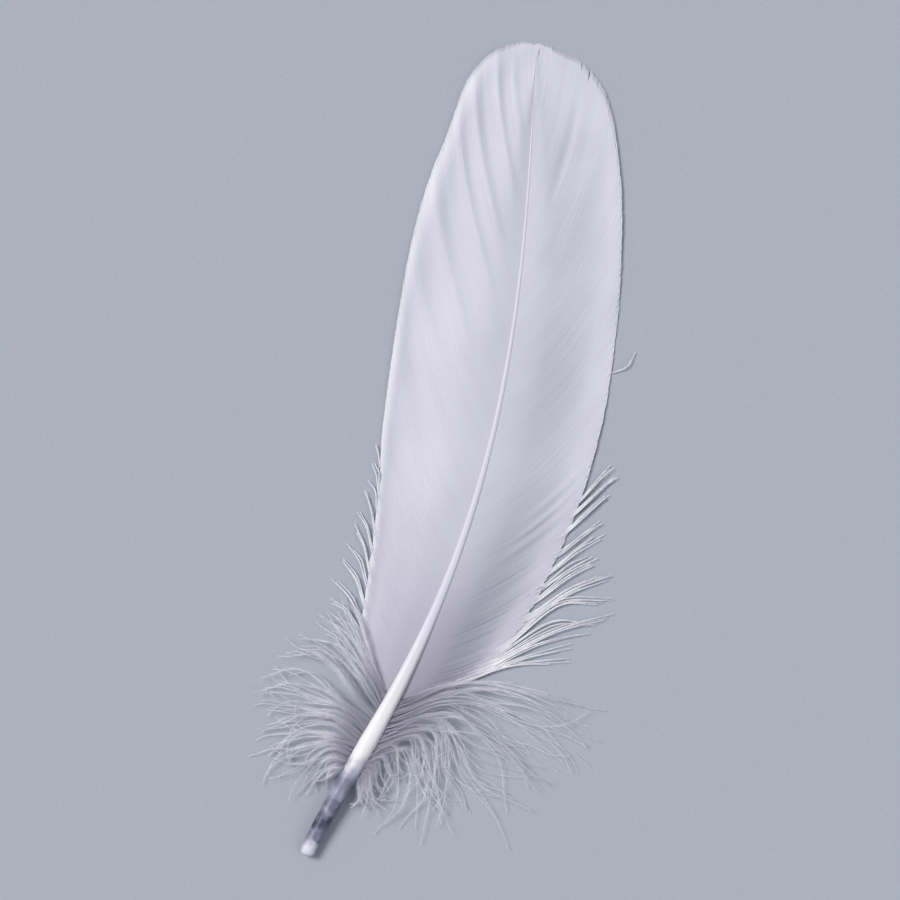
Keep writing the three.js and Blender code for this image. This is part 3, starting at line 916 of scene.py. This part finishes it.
def vane_material(name, light, base, margin_from, shapes=1):
    """White barbs with painted shade at the shaft and at the feather's base, and a painted highlight at the
    margin.

    The barbs of the vane are the first of the piece's shapes in the UV square; what follows them is loose.
    """
    material, tree = new_material(name)
    place = stretched(tree, uv_place(tree), (1, shapes, 1))
    along, root = split(tree, place)
    streaks = noise(tree, stretched(tree, place, (2.5, 240, 1)), 1.0, 3.0, 0.65)
    bands = noise(tree, stretched(tree, place, (1.2, 26, 1)), 1.0, 2.0)
    cloud = noise(tree, solid_place(tree), 55.0, 3.0)
    colour = blend(tree, ranged(tree, cloud, 0.35, 0.65), VANE_INNER, VANE_OUTER)
    colour = blend(tree, ranged(tree, streaks, 0.35, 0.7, 0.0, 0.16), colour, VANE_DARK)
    colour = blend(tree, ranged(tree, bands, 0.4, 0.62, 0.0, 0.2), colour, light)
    # Painted shade beside the raised rachis, deeper at the feather's base where the base colour takes over
    colour = blend(tree, ranged(tree, along, 0.0, 0.5, 0.35, 0.0), colour, VANE_DARK)
    near_base = ranged(tree, root, -0.03, 0.32, 1.0, 0.0)
    near_shaft = ranged(tree, along, 0.1, 0.9, 1.0, 0.35)
    colour = blend(tree, maths(tree, "MULTIPLY", near_base, near_shaft), colour, base)
    # Painted highlight towards the margin, weaker towards the tip
    near_margin = ranged(tree, along, margin_from, 1.0)
    below_tip = ranged(tree, root, 0.60, 0.80, 1.0, 0.25)
    colour = blend(tree, maths(tree, "MULTIPLY", near_margin, below_tip), colour, MARGIN_HIGHLIGHT)
    loose = ranged(tree, root, 1.0, 1.03, 0.0, 0.8)
    off_vane = ranged(tree, along, 0.15, 0.5)
    colour = blend(tree, maths(tree, "MULTIPLY", loose, off_vane), colour, LOOSE_WHITE)
    roughness = ranged(tree, streaks, 0.3, 0.7, 0.48, 0.62)
    normal = bump(tree, streaks, 0.4)
    finish_material(tree, thin_shader(tree, colour, roughness, normal, through_share=0.25, sheen=0.2))
    return material


def shaft_material():
    """Ivory keratin, a lilac mottled horn with darker bands on the bare quill, and painted shade along the
    quill's sides and underside.
    """
    material, tree = new_material("quill_horn")
    place, inside = uv_place(tree), solid_place(tree)
    around, y = split(tree, place)[1], split(tree, inside)[1]
    distance = maths(tree, "ADD", y, -ORIGIN[1] * MM)
    wander = noise(tree, inside, 520.0, 2.0, 0.4)
    wander = ranged(tree, wander, 0.25, 0.75, -RAGGEDNESS, RAGGEDNESS)
    at = maths(tree, "ADD", distance, wander)
    grain = noise(tree, stretched(tree, place, (6, 60, 1)), 1.0, 4.0, 0.6)
    ivory = blend(tree, ranged(tree, grain, 0.35, 0.7), *IVORY)
    slender = blend(tree, ranged(tree, grain, 0.35, 0.7), *SLENDER_IVORY)
    ivory = blend(tree, ranged(tree, at, *SLENDER_FROM), ivory, slender)
    mottle = noise(tree, stretched(tree, inside, (1, 0.4, 1)), 500.0, 2.0, 0.4)
    horn = blend(tree, ranged(tree, mottle, 0.3, 0.7), *HORN)
    for middle, half, dark, depth in HORN_BANDS:
        off = maths(tree, "ABSOLUTE", maths(tree, "SUBTRACT", at, middle))
        horn = blend(tree, ranged(tree, off, 0.0, half * 1.2, depth, 0.0), horn, dark)
    horn = blend(tree, ranged(tree, at, *WHITISH_END, 0.92, 0.0), horn, HORN_END)
    # Painted shade away from the quill's top, on its sides and underside
    off_top = maths(tree, "ABSOLUTE", maths(tree, "SUBTRACT", around, 0.25))
    horn = blend(tree, ranged(tree, off_top, 0.12, 0.27, 0.0, 0.28), horn, HORN_EDGE_SHADE)
    colour = blend(tree, ranged(tree, at, *HORN_TURNS_IVORY), horn, ivory)
    roughness = ranged(tree, grain, 0.3, 0.7, 0.30, 0.42)
    roughness = maths(tree, "MULTIPLY_ADD", ranged(tree, at, *SHINE_FADES), 0.2, roughness)
    keys = {"Base Color": colour, "Roughness": roughness, "Normal": bump(tree, grain, 0.35),
            "Specular IOR Level": 0.3, "Coat Weight": 0.08, "Coat Roughness": 0.3}
    finish_material(tree, add(tree, "ShaderNodeBsdfPrincipled", keys).outputs[0])
    return material


def down_material(name, smoky, white_from, through_share):
    """Fibres that are smoky where they grow and white in their outer part."""
    material, tree = new_material(name)
    along = split(tree, uv_place(tree))[0]
    inside = solid_place(tree)
    fine = noise(tree, inside, 700.0, 2.0)
    coarse = noise(tree, inside, 90.0, 2.0)
    colour = blend(tree, ranged(tree, along, 0.0, white_from), smoky, DOWN_WHITE)
    colour = blend(tree, ranged(tree, fine, 0.35, 0.65, 0.0, 0.25), colour, smoky)
    colour = blend(tree, ranged(tree, coarse, 0.4, 0.65, 0.0, 0.25), colour, smoky)
    roughness = ranged(tree, fine, 0.3, 0.7, 0.6, 0.75)
    normal = bump(tree, fine, 0.4)
    finish_material(tree, thin_shader(tree, colour, roughness, normal, through_share, sheen=0.3))
    return material


def floor_material():
    material, tree = new_material("pale_table")
    speckle = noise(tree, solid_place(tree), 1400.0, 3.0)
    colour = blend(tree, ranged(tree, speckle, 0.3, 0.7), *FLOOR)
    keys = {"Base Color": colour, "Roughness": 0.8, "Normal": bump(tree, speckle, 0.3),
            "Specular IOR Level": 0.2}
    finish_material(tree, add(tree, "ShaderNodeBsdfPrincipled", keys).outputs[0])
    return material


# ---- Pieces ----

solid("quill_shaft", quill(), "shaft", shaft_material(), smooth=True)

left_surface = vane_surface(-1, LEFT_VANE, LEFT_RIPPLES, frayed_to=(44, 54), seed=11)
right_surface = vane_surface(1, RIGHT_VANE, RIGHT_RIPPLES, frayed_to=(48, 66), seed=12)
left_loose = loose_barbs(LEFT_LOOSE_STRANDS, -1, left_surface, seed=16)
right_loose = loose_barbs(RIGHT_LOOSE_STRANDS, 1, right_surface, seed=13)
# The base colours below are painted shade beside the shaft at the feather's base
solid("vane_left", vane(-1, left_surface, LEFT_SPLITS, seed=21) + left_loose, "left_vane",
      vane_material("vane_left_white", light=srgb(222, 221, 230), base=srgb(176, 174, 190),
                    margin_from=0.8, shapes=1 + len(left_loose)))
solid("vane_right", vane(1, right_surface, RIGHT_SPLITS, seed=22), "right_vane",
      vane_material("vane_right_white", light=srgb(223, 222, 231), base=srgb(164, 161, 178),
                    margin_from=0.95))
solid("loose_barbs_right", right_loose, "right_loose_barbs",
      down_material("loose_barb_white", srgb(198, 196, 208), white_from=0.55, through_share=0.3))
solid("down_left",
      down(-1, LEFT_DOWN, [], barbs=92, clumps=26, crowding=1.0, barbules_each=430, seed=14),
      "left_down",
      down_material("down_left_white", DOWN_SMOKY, white_from=0.5, through_share=0.45))
solid("down_right",
      down(1, RIGHT_DOWN, RIGHT_STRAYS, barbs=103, clumps=30, crowding=1.22, barbules_each=395, seed=15),
      "right_down",
      down_material("down_right_white", DOWN_SMOKY, white_from=0.5, through_share=0.45))

# ---- Table, light and camera ----

TURN = math.radians(15.36)  # the feather leans this far to the right of upright in the picture
AIM = (-0.0095, 0.004)  # the middle of the picture, right and up from the middle of the frame
TABLE_HALF = 2.0
SKY = (0.86, 0.9, 1.0, 1)


def turned(x, y):
    return x * math.cos(TURN) - y * math.sin(TURN), x * math.sin(TURN) + y * math.cos(TURN)


def table_top():
    mesh = bpy.data.meshes.new("table_top")
    corners = [(x * TABLE_HALF, y * TABLE_HALF, 0) for x, y in ((-1, -1), (1, -1), (1, 1), (-1, 1))]
    mesh.from_pydata(corners, [], [(0, 1, 2, 3)])
    mesh.materials.append(floor_material())
    floor = bpy.data.objects.new("table_top", mesh)
    bpy.context.scene.collection.objects.link(floor)


def soft_light(name, x, y, z, spread, strength, colour):
    """Light from afar that comes over (x, y, z), as the picture shows it, from a disc of spread degrees."""
    data = bpy.data.lights.new(name, "SUN")
    data.angle = math.radians(spread)
    data.energy = strength
    data.color = colour
    light = bpy.data.objects.new(name, data)
    light.location = (*turned(x, y), z)
    light.rotation_euler = light.location.to_track_quat("Z", "Y").to_euler()
    bpy.context.scene.collection.objects.link(light)


def world_light(strength):
    world = bpy.data.worlds.new("studio")
    world.use_nodes = True
    background = world.node_tree.nodes["Background"]
    background.inputs["Color"].default_value = SKY
    background.inputs["Strength"].default_value = strength
    bpy.context.scene.world = world


def look_down(height, lens):
    data = bpy.data.cameras.new("camera")
    data.lens = lens
    data.clip_start = 0.01
    data.clip_end = 10
    camera = bpy.data.objects.new("camera", data)
    camera.location = (*turned(*AIM), height)
    camera.rotation_euler = (0, 0, TURN)
    bpy.context.scene.collection.objects.link(camera)
    bpy.context.scene.camera = camera


table_top()
soft_light("key", -0.34, 0.20, 0.48, spread=25, strength=3.15, colour=(1.0, 0.985, 0.965))
soft_light("fill", 0.45, -0.20, 0.60, spread=40, strength=0.53, colour=(0.93, 0.96, 1.0))
world_light(0.40)
look_down(height=1.04, lens=200)
bpy.context.scene.view_settings.view_transform = "Standard"
